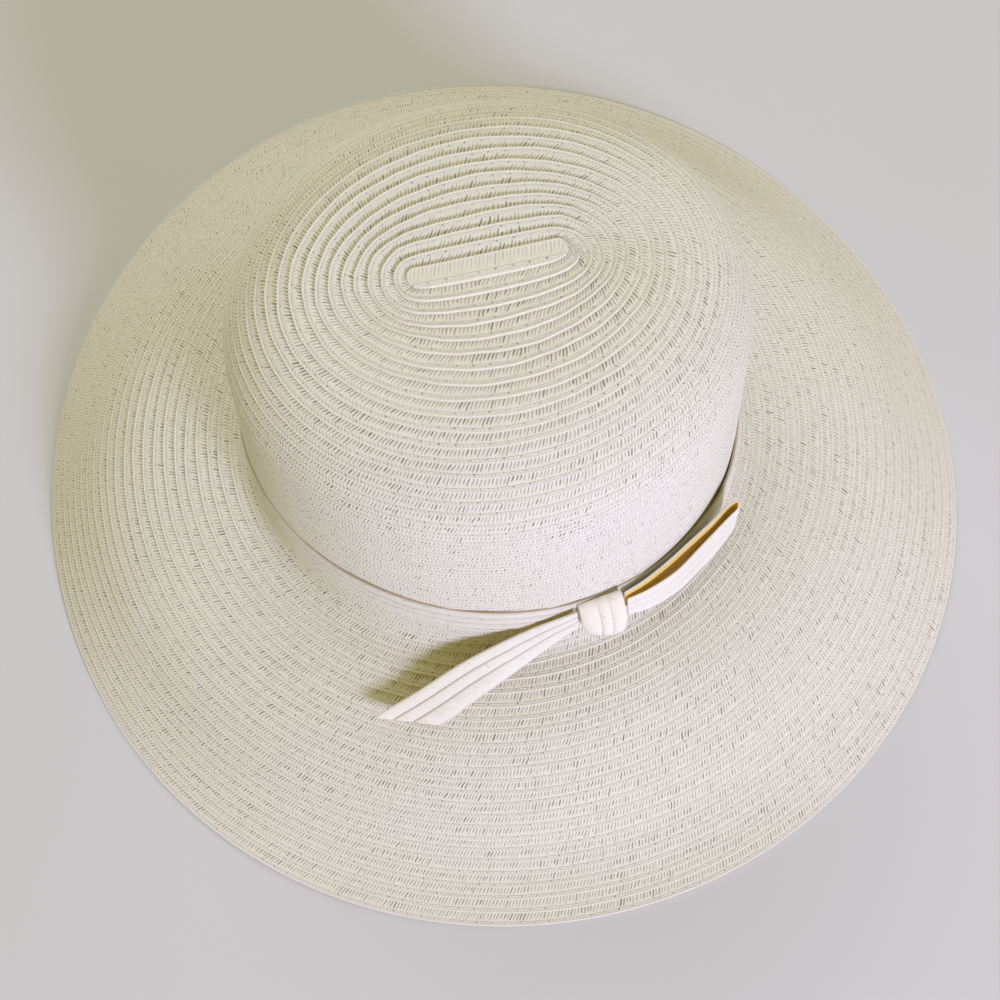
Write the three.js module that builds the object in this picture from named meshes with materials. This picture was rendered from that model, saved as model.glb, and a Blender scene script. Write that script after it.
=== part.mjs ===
// A floppy sun hat of sewn ivory braid: one hollow wall for crown and brim, a band and a flat bow.
// Millimetres, +Z up. The hat stands on its brim with the middle of its box at the origin. +X runs along the
// long axis of the oval crown, and the bow is on the -Y side.
import * as THREE from 'three';

// Braid
const ROW_PITCH = 5.285;          // visible width of one braid row on the crown
const ROW_STEP = 0.8;             // height of a row's outer lip over the next row
const RISER = 0.6;                // length of the step down at a lip, along the wall
const WALL = 2.0;                 // from the middle of the rows' surface to the inside
const SEGMENTS = 36;              // facets round the hat
const BODY_COLOUR = 0xece8e0;
const TRIM_COLOUR = 0xf0ebdf;

// Crown: the wall leaves the oval strip at the tip, bends over the shoulder and runs down the side
const STRIP_HALF_LENGTH = 23.4;   // middle of the strip at the tip to each of its ends
const CROWN_ROWS = 35;            // rows sewn round the strip, down to the foot of the side
const TIP_LENGTH = 45.5;          // arc from the middle of the strip to the shoulder
const TIP_SLOPE = 10.3;           // degrees below level where the shoulder begins
const SHOULDER_RADIUS = 48.6;
const SIDE_SLOPE = 84.1;          // degrees below level on the side
const OVAL_AT_SHOULDER = 9.2;     // how much longer than wide the half oval is below the shoulder
const OVAL_AT_FOOT = 4.5;         // and at the foot of the side

// Brim
const FOOT_HEIGHT = 71.6;         // foot of the side over the surface that the hat stands on
const FOOT_RADIUS = 14;           // bend from side to brim
const BRIM_LENGTH = 109;          // arc from that bend to the edge
const BRIM_ROWS = 24;             // rows from the foot to the edge, those in the bend included
const HEM_HEIGHT = 1.6;           // the edge's upper lip over the surface that the hat stands on
const HEM_WIDTH = 3;              // level ring under the edge
const EDGE_SHIFT = { x: 3.3, y: 1.1 };   // middle of the edge from the crown's axis

// Droop of the brim in degrees below level, at four places between bend and edge. side is added on the long axis
// and taken off on the short one, back is added behind and taken off in front, skew is added on one diagonal.
const BRIM_SLOPES = [
  { at: 0, mean: 14.4, side: 5.8, back: -3.8, skew: 0 },
  { at: 1 / 3, mean: 30.3, side: -8.6, back: -2.4, skew: 0 },
  { at: 2 / 3, mean: 43.6, side: 0.6, back: 0.8, skew: 1.6 },
  { at: 1, mean: 33.0, side: 12.2, back: 7.0, skew: -3.4 },
];

// Waves of the edge's radius round the hat
const EDGE_WAVES = [
  { lobes: 2, cosine: -1.5, sine: -2.2 },
  { lobes: 3, cosine: 0.5, sine: -1.0 },
];

// Band
const GAP = 0.3;                  // between pieces that lie on each other
const BAND_TOP = 167.8;           // arc from the tip's middle down to the band's upper edge
const BAND_HEIGHT = 15;
const BAND_ROWS = 3;
const BAND_THICKNESS = 1.1;       // under the rows' lips it is thicker by a step
const BAND_STEP = 0.5;
const SLACK = { from: -74, to: -20, depth: 2.0 };   // stretch right of the knot where the band stands off

// Bow: strips of three braid rows
const STRIP_ROWS = 3;
const STRIP_THICKNESS = 0.9;
const STRIP_STEP = 0.4;
const TAIL_SECTIONS = 10;
const LOOP_SECTIONS = 24;
const CUT_SLANT = 22;             // how much longer the tail is along its upper edge than along its lower edge

// Middle of the tail from its cut end to the knot. lean tips the strip's upper edge towards the crown, in degrees.
const TAIL = [
  { x: -59, y: -112.6, z: 56.5, width: 18, lean: 50 },
  { x: -47, y: -109.2, z: 59.9, width: 18, lean: 48 },
  { x: -30, y: -104.0, z: 65.8, width: 18, lean: 41 },
  { x: -10, y: -99.9, z: 72.0, width: 17, lean: 27 },
  { x: 0, y: -98.4, z: 76.6, width: 15, lean: 20 },
  { x: 11.4, y: -97.1, z: 81.2, width: 12, lean: 12 },
];

// Middle of the loop: out along the front leaf, round the fold and back along the leaf against the band
const LOOP = [
  { azimuth: -71.6, radius: 100.0, z: 79.3, width: 13, lean: 10 },
  { azimuth: -66.0, radius: 101.8, z: 77.4, width: 16, lean: 17 },
  { azimuth: -59.0, radius: 103.2, z: 76.6, width: 18, lean: 18 },
  { azimuth: -52.0, radius: 104.4, z: 76.1, width: 18, lean: 18 },
  { azimuth: -45.0, radius: 106.0, z: 75.6, width: 18, lean: 17 },
  { azimuth: -40.0, radius: 107.2, z: 75.6, width: 18, lean: 12 },
  { azimuth: -37.4, radius: 105.6, z: 76.6, width: 18, lean: 2 },
  { azimuth: -40.0, radius: 104.0, z: 78.1, width: 18, lean: -4 },
  { azimuth: -45.0, radius: 102.2, z: 79.6, width: 18, lean: -6 },
  { azimuth: -52.0, radius: 100.3, z: 80.6, width: 17, lean: -6 },
  { azimuth: -59.0, radius: 99.3, z: 81.1, width: 17, lean: -6 },
  { azimuth: -66.0, radius: 98.2, z: 81.1, width: 15, lean: -6 },
  { azimuth: -71.6, radius: 97.4, z: 81.1, width: 13, lean: -6 },
];

// Knot: an upright wrap of braid in front of the band, with sections from its lower to its upper end
const KNOT_AZIMUTH = -78;
const KNOT_ARC = 177.5;           // arc from the tip's middle down to the knot's middle
const KNOT_ROWS = 3;
const KNOT_RIDGE = 0.8;           // how far the braid rows stand out on its face
const KNOT_ROUNDING = 0.85;       // share of a half round that its face takes across the width
const KNOT_ROW_STEPS = 4;         // facets across each row
const KNOT_SECTIONS = [
  { up: -11.5, width: 12.0, depth: 2.5 },
  { up: -10, width: 13.5, depth: 5.0 },
  { up: -5, width: 16.0, depth: 7.0 },
  { up: 2, width: 18.5, depth: 7.6 },
  { up: 8, width: 19.0, depth: 7.0 },
  { up: 11, width: 18.5, depth: 5.0 },
  { up: 12, width: 17.5, depth: 2.5 },
];

// Worked out from the sizes above
const FOOT_ARC = (CROWN_ROWS + 0.5) * ROW_PITCH;
const SHOULDER_END = TIP_LENGTH + SHOULDER_RADIUS * rad(SIDE_SLOPE - TIP_SLOPE);
const OVAL = [
  { arc: 0, extra: STRIP_HALF_LENGTH },
  { arc: TIP_LENGTH, extra: (STRIP_HALF_LENGTH + OVAL_AT_SHOULDER) / 2 },
  { arc: SHOULDER_END, extra: OVAL_AT_SHOULDER },
  { arc: FOOT_ARC, extra: OVAL_AT_FOOT },
];
const ARC_STEP = 0.5;
const AROUND_STEP = rad(0.5);
const AZIMUTHS = Array.from({ length: SEGMENTS }, (_, i) => rad(360 * i / SEGMENTS));
const UP = new THREE.Vector3(0, 0, 1);

function rad(degrees) {
  return THREE.MathUtils.degToRad(degrees);
}

// Straight-line interpolation of one column of a table, by the column that orders its rows
function column(rows, key, name, at) {
  const next = rows.findIndex((row) => row[key] >= at);
  if (next === 0) return rows[0][name];
  if (next < 0) return rows[rows.length - 1][name];
  const low = rows[next - 1];
  const high = rows[next];
  return THREE.MathUtils.mapLinear(at, low[key], high[key], low[name], high[name]);
}

// Shape of the wall

function brimSlope(at, azimuth) {
  const term = (name) => column(BRIM_SLOPES, 'at', name, at);
  return term('mean') + term('side') * Math.cos(2 * azimuth) + term('back') * Math.sin(azimuth)
    + term('skew') * Math.sin(2 * azimuth);
}

function bendLength(azimuth) {
  return FOOT_RADIUS * rad(SIDE_SLOPE - brimSlope(0, azimuth));
}

function edgeArc(azimuth) {
  return FOOT_ARC + bendLength(azimuth) + BRIM_LENGTH;
}

// Slope of the wall in degrees below level
function wallSlope(arc, azimuth) {
  if (arc <= TIP_LENGTH) return TIP_SLOPE * arc / TIP_LENGTH;
  if (arc <= SHOULDER_END) return THREE.MathUtils.mapLinear(arc, TIP_LENGTH, SHOULDER_END, TIP_SLOPE, SIDE_SLOPE);
  if (arc <= FOOT_ARC) return SIDE_SLOPE;
  const bend = (arc - FOOT_ARC) / bendLength(azimuth);
  if (bend < 1) return THREE.MathUtils.lerp(SIDE_SLOPE, brimSlope(0, azimuth), bend);
  return brimSlope((arc - FOOT_ARC - bendLength(azimuth)) / BRIM_LENGTH, azimuth);
}

// One line of the wall from tip to edge at an azimuth, as a function of the arc along it. An even correction over
// the brim keeps the edge level at HEM_HEIGHT all round.
function makeMeridian(azimuth) {
  const end = edgeArc(azimuth);
  const count = Math.ceil(end / ARC_STEP);
  const step = end / count;
  const reach = [0];
  const fall = [0];
  for (let i = 0; i < count; i++) {
    const slope = rad(wallSlope((i + 0.5) * step, azimuth));
    reach.push(reach[i] + Math.cos(slope) * step);
    fall.push(fall[i] + Math.sin(slope) * step);
  }
  const along = (list, arc) => {
    const i = THREE.MathUtils.clamp(Math.floor(arc / step), 0, count - 1);
    return THREE.MathUtils.lerp(list[i], list[i + 1], arc / step - i);
  };
  const wave = ({ lobes, cosine, sine }) => cosine * Math.cos(lobes * azimuth) + sine * Math.sin(lobes * azimuth);
  const edgeWave = EDGE_WAVES.reduce((sum, row) => sum + wave(row), 0);
  const top = FOOT_HEIGHT + along(fall, FOOT_ARC);
  const correction = top - HEM_HEIGHT - fall[count];
  return (arc) => {
    const outward = Math.max(0, (arc - FOOT_ARC) / (end - FOOT_ARC)) ** 2;
    const radius = along(reach, arc) + edgeWave * outward;
    const oval = column(OVAL, 'arc', 'extra', arc);
    return new THREE.Vector3(
      (radius + oval) * Math.cos(azimuth) + EDGE_SHIFT.x * outward,
      radius * Math.sin(azimuth) + EDGE_SHIFT.y * outward,
      top - along(fall, arc) - correction * outward,
    );
  };
}

const meridians = new Map();

function meridian(azimuth) {
  if (!meridians.has(azimuth)) meridians.set(azimuth, makeMeridian(azimuth));
  return meridians.get(azimuth);
}

// Point at a distance outside the middle of the rows' surface, measured along its normal
function offWall(azimuth, arc, distance) {
  const line = meridian(azimuth);
  const down = line(arc + ARC_STEP).sub(line(arc - ARC_STEP));
  const round = meridian(azimuth + AROUND_STEP)(arc).sub(meridian(azimuth - AROUND_STEP)(arc));
  return line(arc).addScaledVector(down.cross(round).normalize(), distance);
}

// Mesh helpers

// Closed surface through loops of equal length. Ends are capped with triangles found on the loops' flat outlines,
// or joined to each other where no outline is given.
function skin(loops, outline) {
  const size = loops[0].length;
  const triangles = [];
  const spans = outline ? loops.length - 1 : loops.length;
  for (let i = 0; i < spans; i++) {
    const here = i * size;
    const next = ((i + 1) % loops.length) * size;
    for (let j = 0; j < size; j++) {
      const k = (j + 1) % size;
      triangles.push([here + j, here + k, next + k], [here + j, next + k, next + j]);
    }
  }
  if (outline) {
    const last = (loops.length - 1) * size;
    for (const [a, b, c] of THREE.ShapeUtils.triangulateShape(outline, [])) {
      triangles.push([c, b, a], [last + a, last + b, last + c]);
    }
  }
  const points = loops.flat();
  const corners = ([a, b, c]) => points[a].dot(points[b].clone().cross(points[c]));
  const outward = triangles.reduce((sum, triangle) => sum + corners(triangle), 0) > 0;
  const geometry = new THREE.BufferGeometry().setFromPoints(points);
  geometry.setIndex(triangles.flatMap(([a, b, c]) => (outward ? [a, b, c] : [a, c, b])));
  geometry.computeVertexNormals();
  return geometry;
}

function braidMesh(name, geometry, colour) {
  const material = new THREE.MeshStandardMaterial({ color: colour, roughness: 0.8, metalness: 0 });
  const mesh = new THREE.Mesh(geometry, material);
  mesh.name = name;
  return mesh;
}

// Outline of a strip of braid rows, anticlockwise: x is the share of its width from -1/2 to 1/2, y its thickness.
// Each row rises to its lip, and the back is flat.
function braidOutline(rows, thickness, step, riser) {
  const points = [new THREE.Vector2(0.5, 0), new THREE.Vector2(-0.5, 0)];
  for (let row = 0; row < rows; row++) {
    const start = row / rows - 0.5 + (row ? riser : 0);
    points.push(new THREE.Vector2(start, thickness));
    points.push(new THREE.Vector2((row + 1) / rows - 0.5, thickness + step));
  }
  return points.reverse();
}

// Hat body

// Arc of each row's lip at an azimuth: the strip, the crown's rows, then the brim's rows out to the edge
function lipArcs(azimuth) {
  const crown = Array.from({ length: CROWN_ROWS + 1 }, (_, i) => (i + 0.5) * ROW_PITCH);
  const brimPitch = (edgeArc(azimuth) - FOOT_ARC) / BRIM_ROWS;
  const brim = Array.from({ length: BRIM_ROWS }, (_, i) => FOOT_ARC + (i + 1) * brimPitch);
  return [...crown, ...brim];
}

// Arcs of the loops on the plain inside, from the edge up to the tip, at shares of each stretch of the wall
function insideArcs(azimuth) {
  const bendEnd = FOOT_ARC + bendLength(azimuth);
  const stretches = [
    { from: bendEnd, to: bendEnd + BRIM_LENGTH, shares: [0.93, 0.75, 0.5, 0.25, 0] },
    { from: FOOT_ARC, to: bendEnd, shares: [0.5, 0] },
    { from: SHOULDER_END, to: FOOT_ARC, shares: [0.5, 0] },
    { from: TIP_LENGTH, to: SHOULDER_END, shares: [0.8, 0.6, 0.4, 0.2, 0] },
    { from: 0, to: TIP_LENGTH, shares: [0.55, 0.15] },
  ];
  return stretches.flatMap(({ from, to, shares }) => shares.map((at) => THREE.MathUtils.lerp(from, to, at)));
}

// Points of the closed wall at one azimuth, from the tip over the rows to the edge and back inside
function wallProfile(azimuth) {
  const lips = lipArcs(azimuth);
  const points = [];
  lips.forEach((lip, row) => {
    if (row > 0) points.push(offWall(azimuth, lips[row - 1] + RISER / 2, -ROW_STEP / 2));
    points.push(offWall(azimuth, lip - RISER / 2, ROW_STEP / 2));
  });
  const edge = meridian(azimuth)(edgeArc(azimuth)).setZ(0);
  const inward = new THREE.Vector3(-Math.cos(azimuth), -Math.sin(azimuth), 0);
  points.push(edge, edge.clone().addScaledVector(inward, HEM_WIDTH));
  for (const arc of insideArcs(azimuth)) points.push(offWall(azimuth, arc, -WALL));
  return points;
}

function hatBody() {
  const profiles = AZIMUTHS.map(wallProfile);
  const loops = profiles[0].map((_, i) => profiles.map((profile) => profile[i]));
  const circle = AZIMUTHS.map((azimuth) => new THREE.Vector2(Math.cos(azimuth), Math.sin(azimuth)));
  return braidMesh('hat_body', skin(loops, circle), BODY_COLOUR);
}

// Band

function bandSlack(azimuth) {
  const degrees = THREE.MathUtils.euclideanModulo(THREE.MathUtils.radToDeg(azimuth) + 180, 360) - 180;
  const at = THREE.MathUtils.clamp((degrees - SLACK.from) / (SLACK.to - SLACK.from), 0, 1);
  return SLACK.depth * Math.sin(Math.PI * at) ** 2;
}

function hatBand() {
  const outline = braidOutline(BAND_ROWS, BAND_THICKNESS, BAND_STEP, RISER / BAND_HEIGHT);
  const loops = AZIMUTHS.map((azimuth) => outline.map(({ x, y }) => {
    const arc = BAND_TOP + (x + 0.5) * BAND_HEIGHT;
    return offWall(azimuth, arc, ROW_STEP / 2 + GAP + bandSlack(azimuth) + y);
  }));
  return braidMesh('hat_band', skin(loops), TRIM_COLOUR);
}

// Bow

// Strip of braid along a smooth line through the rows of a table. Its first end is cut at a slant.
function strip(name, stations, sections, slant) {
  const curve = new THREE.CatmullRomCurve3(stations.map(({ x, y, z }) => new THREE.Vector3(x, y, z)));
  const outline = braidOutline(STRIP_ROWS, STRIP_THICKNESS, STRIP_STEP, RISER / stations[0].width);
  const places = stations.map((station, i) => ({ ...station, at: i / (stations.length - 1) }));
  const loops = Array.from({ length: sections + 1 }, (_, i) => {
    const at = i / sections;
    const along = curve.getTangent(at);
    const side = UP.clone().cross(along).normalize();
    const lean = rad(column(places, 'at', 'lean', at));
    const width = column(places, 'at', 'width', at);
    const upward = UP.clone().multiplyScalar(Math.cos(lean)).addScaledVector(side, Math.sin(lean));
    const face = along.clone().cross(upward).normalize();
    const shear = i === 0 ? -slant : 0;
    return outline.map(({ x, y }) => curve.getPoint(at)
      .addScaledVector(upward, -x * width)
      .addScaledVector(along, -x * shear)
      .addScaledVector(face, y - (STRIP_THICKNESS + STRIP_STEP) / 2));
  });
  return braidMesh(name, skin(loops, outline), TRIM_COLOUR);
}

function bowTail() {
  return strip('bow_tail', TAIL, TAIL_SECTIONS, CUT_SLANT);
}

function bowLoop() {
  const stations = LOOP.map(({ azimuth, radius, ...rest }) => ({
    x: radius * Math.cos(rad(azimuth)),
    y: radius * Math.sin(rad(azimuth)),
    ...rest,
  }));
  return strip('bow_loop', stations, LOOP_SECTIONS, 0);
}

// Upright knot whose face carries the ridges of the braid rows, set against the band
function bowKnot() {
  const faceSteps = KNOT_ROW_STEPS * KNOT_ROWS;
  const outline = [new THREE.Vector2(0.5, 0), new THREE.Vector2(-0.5, 0)];
  for (let i = 0; i <= faceSteps; i++) {
    const across = i / faceSteps - 0.5;
    const bulge = Math.sqrt(1 - (2 * KNOT_ROUNDING * across) ** 2);
    outline.push(new THREE.Vector2(across, bulge));
  }
  outline.reverse();
  const loops = KNOT_SECTIONS.map(({ up, width, depth }) => outline.map(({ x, y }) => {
    const ridge = y > 0 ? KNOT_RIDGE * Math.abs(Math.sin(KNOT_ROWS * Math.PI * (x + 0.5))) : 0;
    return new THREE.Vector3(x * width, -(y * depth + ridge), up);
  }));
  const knot = braidMesh('bow_knot', skin(loops, outline), TRIM_COLOUR);
  const azimuth = rad(KNOT_AZIMUTH);
  const lean = new THREE.Group();
  lean.rotation.x = rad(SIDE_SLOPE - 90);
  lean.add(knot);
  const seat = new THREE.Group();
  seat.position.copy(offWall(azimuth, KNOT_ARC, ROW_STEP / 2 + 2 * GAP + BAND_THICKNESS + BAND_STEP));
  seat.rotation.z = azimuth + Math.PI / 2;
  seat.add(lean);
  return seat;
}

// The whole hat, moved so that the middle of its box is over the origin

const hat = new THREE.Group();
hat.add(hatBody(), hatBand(), bowTail(), bowLoop(), bowKnot());
const middle = new THREE.Box3().setFromObject(hat).getCenter(new THREE.Vector3());
hat.position.set(-middle.x, -middle.y, 0);

export default hat;
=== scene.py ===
"""A floppy sun hat of sewn ivory braid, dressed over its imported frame.

Lengths are in millimetres, in the frame of the crown's own axis, until a mesh is made. The hat is one
spiral of braid: a short strip at the tip, then row after row, each tucked under the one inside it, down
the crown and out over the brim. The wall repeats the sizes of the CAD part. The band is thinner than the
CAD part's and slopes round the crown, and the strips of the bow are thinner too, as in the photograph.
"""
import math

import bmesh
import bpy
import numpy as np
from mathutils import Matrix, Vector


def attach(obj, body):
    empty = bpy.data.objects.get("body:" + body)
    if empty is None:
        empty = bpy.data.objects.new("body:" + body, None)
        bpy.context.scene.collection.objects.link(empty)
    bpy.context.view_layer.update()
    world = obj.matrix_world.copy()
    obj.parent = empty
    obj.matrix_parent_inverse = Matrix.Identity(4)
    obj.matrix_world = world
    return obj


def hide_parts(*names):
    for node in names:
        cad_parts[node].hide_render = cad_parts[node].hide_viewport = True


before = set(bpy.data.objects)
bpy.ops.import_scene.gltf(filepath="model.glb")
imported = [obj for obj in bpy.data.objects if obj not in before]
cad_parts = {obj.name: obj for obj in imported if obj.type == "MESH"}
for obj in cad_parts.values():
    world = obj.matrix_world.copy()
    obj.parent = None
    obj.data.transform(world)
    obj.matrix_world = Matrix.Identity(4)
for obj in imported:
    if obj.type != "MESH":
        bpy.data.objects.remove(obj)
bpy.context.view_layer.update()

MM = 0.001
TURN = 2 * math.pi
UP = np.array([0.0, 0.0, 1.0])

# Braid
ROW_PITCH = 5.285           # visible width of a row on the crown
TICK = 1.36                 # distance between strands along a row
WALL = 2.0                  # from the middle of the rows' surface to the inside

# Crown
STRIP_HALF_LENGTH = 23.4
STRIP_SQUARENESS = 4.0      # how straight the strip's long sides are
LEAST_SQUARENESS = 0.01     # squareness of the plain ovals, just above 0
ROUND_FROM = 34.0           # arc from the tip where the rows have become plain ovals
CROWN_ROWS = 35
TIP_LENGTH = 45.5
TIP_SLOPE = 10.3
SHOULDER_RADIUS = 48.6
SIDE_SLOPE = 84.1
OVAL_AT_SHOULDER = 9.2
OVAL_AT_FOOT = 4.5

# Brim
FOOT_HEIGHT = 71.6
FOOT_RADIUS = 14.0
BRIM_LENGTH = 109.0
BRIM_ROWS = 24
HEM_HEIGHT = 1.6
HEM_WIDTH = 3.0
HEM_PROFILE = (   # height, inset from the edge
    (1.05, -0.12),
    (0.55, -0.10),
    (0.15, 0.12),
    (0.00, 0.50),
    (0.00, HEM_WIDTH),
)
HEM_ACROSS = (0.97, 1.1)    # shares of a row's width that the hem runs over
EDGE_SHIFT = (3.3, 1.1)     # x, y
BRIM_SLOPES = {
    "at": (0, 1 / 3, 2 / 3, 1),
    "mean": (14.4, 30.3, 43.6, 33.0),
    "side": (5.8, -8.6, 0.6, 12.2),
    "back": (-3.8, -2.4, 0.8, 7.0),
    "skew": (0.0, 0.0, 1.6, -3.4),
}
EDGE_WAVES = ((2, -1.5, -2.2), (3, 0.5, -1.0))   # lobes, cosine, sine

# Lines from the tip to the edge, along which the wall is worked out
MERIDIAN_LINES = 721
MERIDIAN_STEPS = 1200
NORMAL_ARC = 0.5                   # half the arc that a normal is taken over
NORMAL_TURN = math.radians(0.5)    # half the turn that a normal is taken over
FLAT_ROWS = (0.5, 3)               # rows over which normals at the tip pass from upright to the wall's own

# Spiral
STRIP_EDGE = 0.81                  # row number of the strip's own lip, which shows the braid's full width
STRIP_LEAN = 0.5                   # rows by which the strip and the rows near it lie to the front
LEAN_FADES = (6, 30)               # turns over which that lean fades out
END_WINDOW = 0.12                  # share of a turn, each side of the right end, where rows step out
SETTLE = (26, 40)                  # turns over which the step moves from the right end to the back
RING_EDGE = 0.5                    # row number that the brim's rings count from
BACK_WINDOW = (0.62, 0.87)         # share of a turn, at the back, where the brim's rings step out
CROWN_TURNS = range(0, 33)
BRIM_TURNS = range(33, 59)
HEM_TURNS = 2                      # turns that the hem covers on the inside
CROWN_COLUMNS = 240
BRIM_COLUMNS = 320
WAVER = ((4.37, 0.0, 0.035), (9.71, 1.3, 0.03), (23.3, 0.0, 0.02))   # waves in a turn, phase, rows
WAVER_FROM = (0.3, 2.0)            # turns over which the lips become uneven
WAVER_TO = (1.5, 0.3)              # rows before the edge over which they become even again
BRAID_STARTS = {                   # lengths that each winding counts from, so that no two look alike
    "crown": 0.0,
    "crown inside": 300.0,
    "brim": 20000.0,
    "brim inside": 60000.0,
}

# Height of a row across its width, from under the lip inside it to its own lip
LIP = 0.40
TIP_RELIEF = 1.4                   # how much deeper rows are near the tip
RELIEF_FADES = (10, 22)            # turns over which that fades out
ROW_PROFILE = (
    (0.0, -0.46),
    (0.09, -0.38),
    (0.36, -0.10),
    (0.64, 0.08),
    (0.88, 0.22),
    (0.93, 0.38),
    (0.965, LIP),
    (1.0, 0.10),
)
STRIP_PROFILE = (
    (0.0, 0.30),
    (0.4, 0.32),
    (0.8, 0.36),
    (0.92, 0.44),
    (0.97, 0.46),
    (0.99, 0.36),
    (1.0, 0.08),
)
INSIDE_LIP = -WALL - 0.30
INSIDE_PROFILE = ((0.0, INSIDE_LIP), (0.08, -WALL - 0.22), (1.0, -WALL + 0.30))
STRIP_INSIDE = (0.0, 0.6)          # shares of the strip's half width where its inside has points
NEXT_ROW = 1.1                     # share of a row's width at the line that joins it to the next

# Rows of a band, strip or wrap that meet in grooves: share across a row, share of its rise
ROW_RISE = ((0.05, 0.3), (0.12, 0.9), (0.3, 1.0), (0.7, 1.0), (0.88, 0.9), (0.95, 0.3))
PLAIN_EDGE = 0.08           # inset of rows whose grooves show little painted shade

# Band
BAND_TOP = 166.8            # mean arc of its top edge, which lies lower to the right of the bow
BAND_TILTS = ((1, 8.1, -0.8), (2, 0.4, -3.1))    # lobes, cosine, sine
BAND_HEIGHT = 15.0
BAND_GAP = 0.03
BAND_THICKNESS = 0.5
BAND_STEP = 0.25
BAND_GROOVE = 0.4           # height of its grooves
BAND_ROW_EDGES = (0, 1 / 3, 2 / 3, 1)
BAND_TOP_EDGE = (   # share across, height, row, place in the row
    (0.0, -0.35, 0, 0.0),   # bent in towards the rows of the crown
    (0.0, 0.3, 0, 0.02),
)
BAND_BACK = (   # share across, height, row, place in the row
    (1.0, 0.25, 2, 0.9),
    (0.97, 0.0, 2, 0.9),
    (0.5, 0.0, 1, 0.5),
    (0.05, 0.0, 0, 0.1),
)
BAND_COLUMNS = 300
SLACK = {"from": -56.0, "to": -18.0, "depth": 1.3}

# Row numbers in the braid coordinates of the band, the knot and the two faces of a strip
BAND_ROWS = 100
KNOT_ROWS = 150
FRONT_ROWS = 200
REVERSE_ROWS = 210

# Bow
STRIP_THICKNESS = 0.85
TAIL_SECTIONS = 90
LOOP_SECTIONS = 150
CUT_SLANT = 22.0
CUT_FADES = 0.6             # share of the strip's length over which the slant fades out
TAIL = (   # x, y, z, width, lean
    (-59.0, -112.6, 56.5, 18, 50),
    (-47.0, -109.2, 59.9, 18, 48),
    (-30.0, -104.0, 65.8, 18, 41),
    (-10.0, -99.2, 72.8, 17, 27),
    (0.0, -97.4, 77.8, 15, 20),
    (11.4, -95.8, 83.0, 12, 12),
)
LOOP = (   # azimuth, radius, z, width, lean
    (-71.6, 99.2, 79.3, 13, 10),
    (-66.0, 100.9, 77.6, 16, 10),
    (-59.0, 102.4, 76.8, 18, 9),
    (-52.0, 102.9, 76.4, 18, 10),
    (-46.0, 104.2, 76.6, 18, 9),
    (-42.0, 105.6, 77.4, 18, 6),
    (-39.9, 106.2, 78.2, 18, 2),
    (-38.7, 104.7, 78.9, 18, 0),
    (-39.6, 103.0, 79.2, 18, -2),
    (-41.6, 101.9, 79.2, 18, -4),
    (-46.0, 100.4, 79.2, 18, -6),
    (-52.0, 98.3, 79.2, 18, -6),
    (-59.0, 97.3, 79.4, 17.5, -6),
    (-66.0, 96.9, 80.4, 15.5, -6),
    (-71.6, 96.6, 81.6, 13, -6),
)
STRIP_ROW_EDGES = (0.0, 0.29, 0.58, 1.0)   # shares of a strip's width from its upper edge
# Heights on a strip, as shares of half its thickness
STRIP_SHOULDER = 0.45
STRIP_GROOVE = -0.1
STRIP_FRONT_EDGE = 0.4
STRIP_BACK_EDGE = -0.6
STRIP_REVERSE = (   # share across, row, place in the row
    (0.97, 2, 0.9),
    (0.6, 2, 0.1),
    (0.58, 2, 0.0),
    (0.56, 1, 0.9),
    (0.31, 1, 0.1),
    (0.29, 1, 0.0),
    (0.27, 0, 0.9),
    (0.03, 0, 0.1),
)
EDGE_PLACES = (0.1, 0.9)    # places in the row at a strip's and the knot's first and last edge
LAST_ROW = 2

# Knot
KNOT_AZIMUTH = -78.0
KNOT_TURN = -5.0            # how far its face is turned from the crown's own direction
KNOT_ARC = 177.5
KNOT_SEAT = 1.7             # from the middle of the rows' surface to its back
KNOT_TOP = 7.8              # above its seat
KNOT_DROPS = (11.5, 17.0)   # below its seat, at its left and right side
KNOT_PROFILE = (   # share of its height, share of its depth
    (0.0, 0.0),
    (0.0, 0.45),
    (0.06, 0.80),
    (0.20, 0.97),
    (0.42, 1.0),
    (0.65, 0.84),
    (0.85, 0.56),
    (0.96, 0.34),
    (1.0, 0.14),
    (1.0, 0.0),
)
KNOT_WIDTHS = ((0.0, 12.5), (0.25, 15.5), (0.6, 17.6), (1.0, 17.2))   # share of its height, width
KNOT_DEPTHS = (7.8, 10.4)   # at its left and right side
KNOT_ROW_EDGES = (0.0, 0.40, 0.66, 1.0)   # shares of the wrap's width
KNOT_RIDGE = 0.75
KNOT_SHOULDER = 0.375       # height of a row beside its grooves
KNOT_BULGE = 1.5            # how much further the middle of the wrap stands out than its sides
KNOT_CREASES = (   # across, up, depth
    (0.22, 0.62, 0.5),
    (0.28, 0.30, 0.4),
    (0.85, 0.45, 0.6),
    (0.80, 0.24, 0.4),
)
KNOT_CREASE_SIZE = (0.16, 0.03)           # across, up
KNOT_STEPS = 72

# Meshes
WELD_DISTANCE = 0.004
SLIVER = 0.002              # length below which an edge is dissolved
SHARP_ANGLE = 50.0
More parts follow.
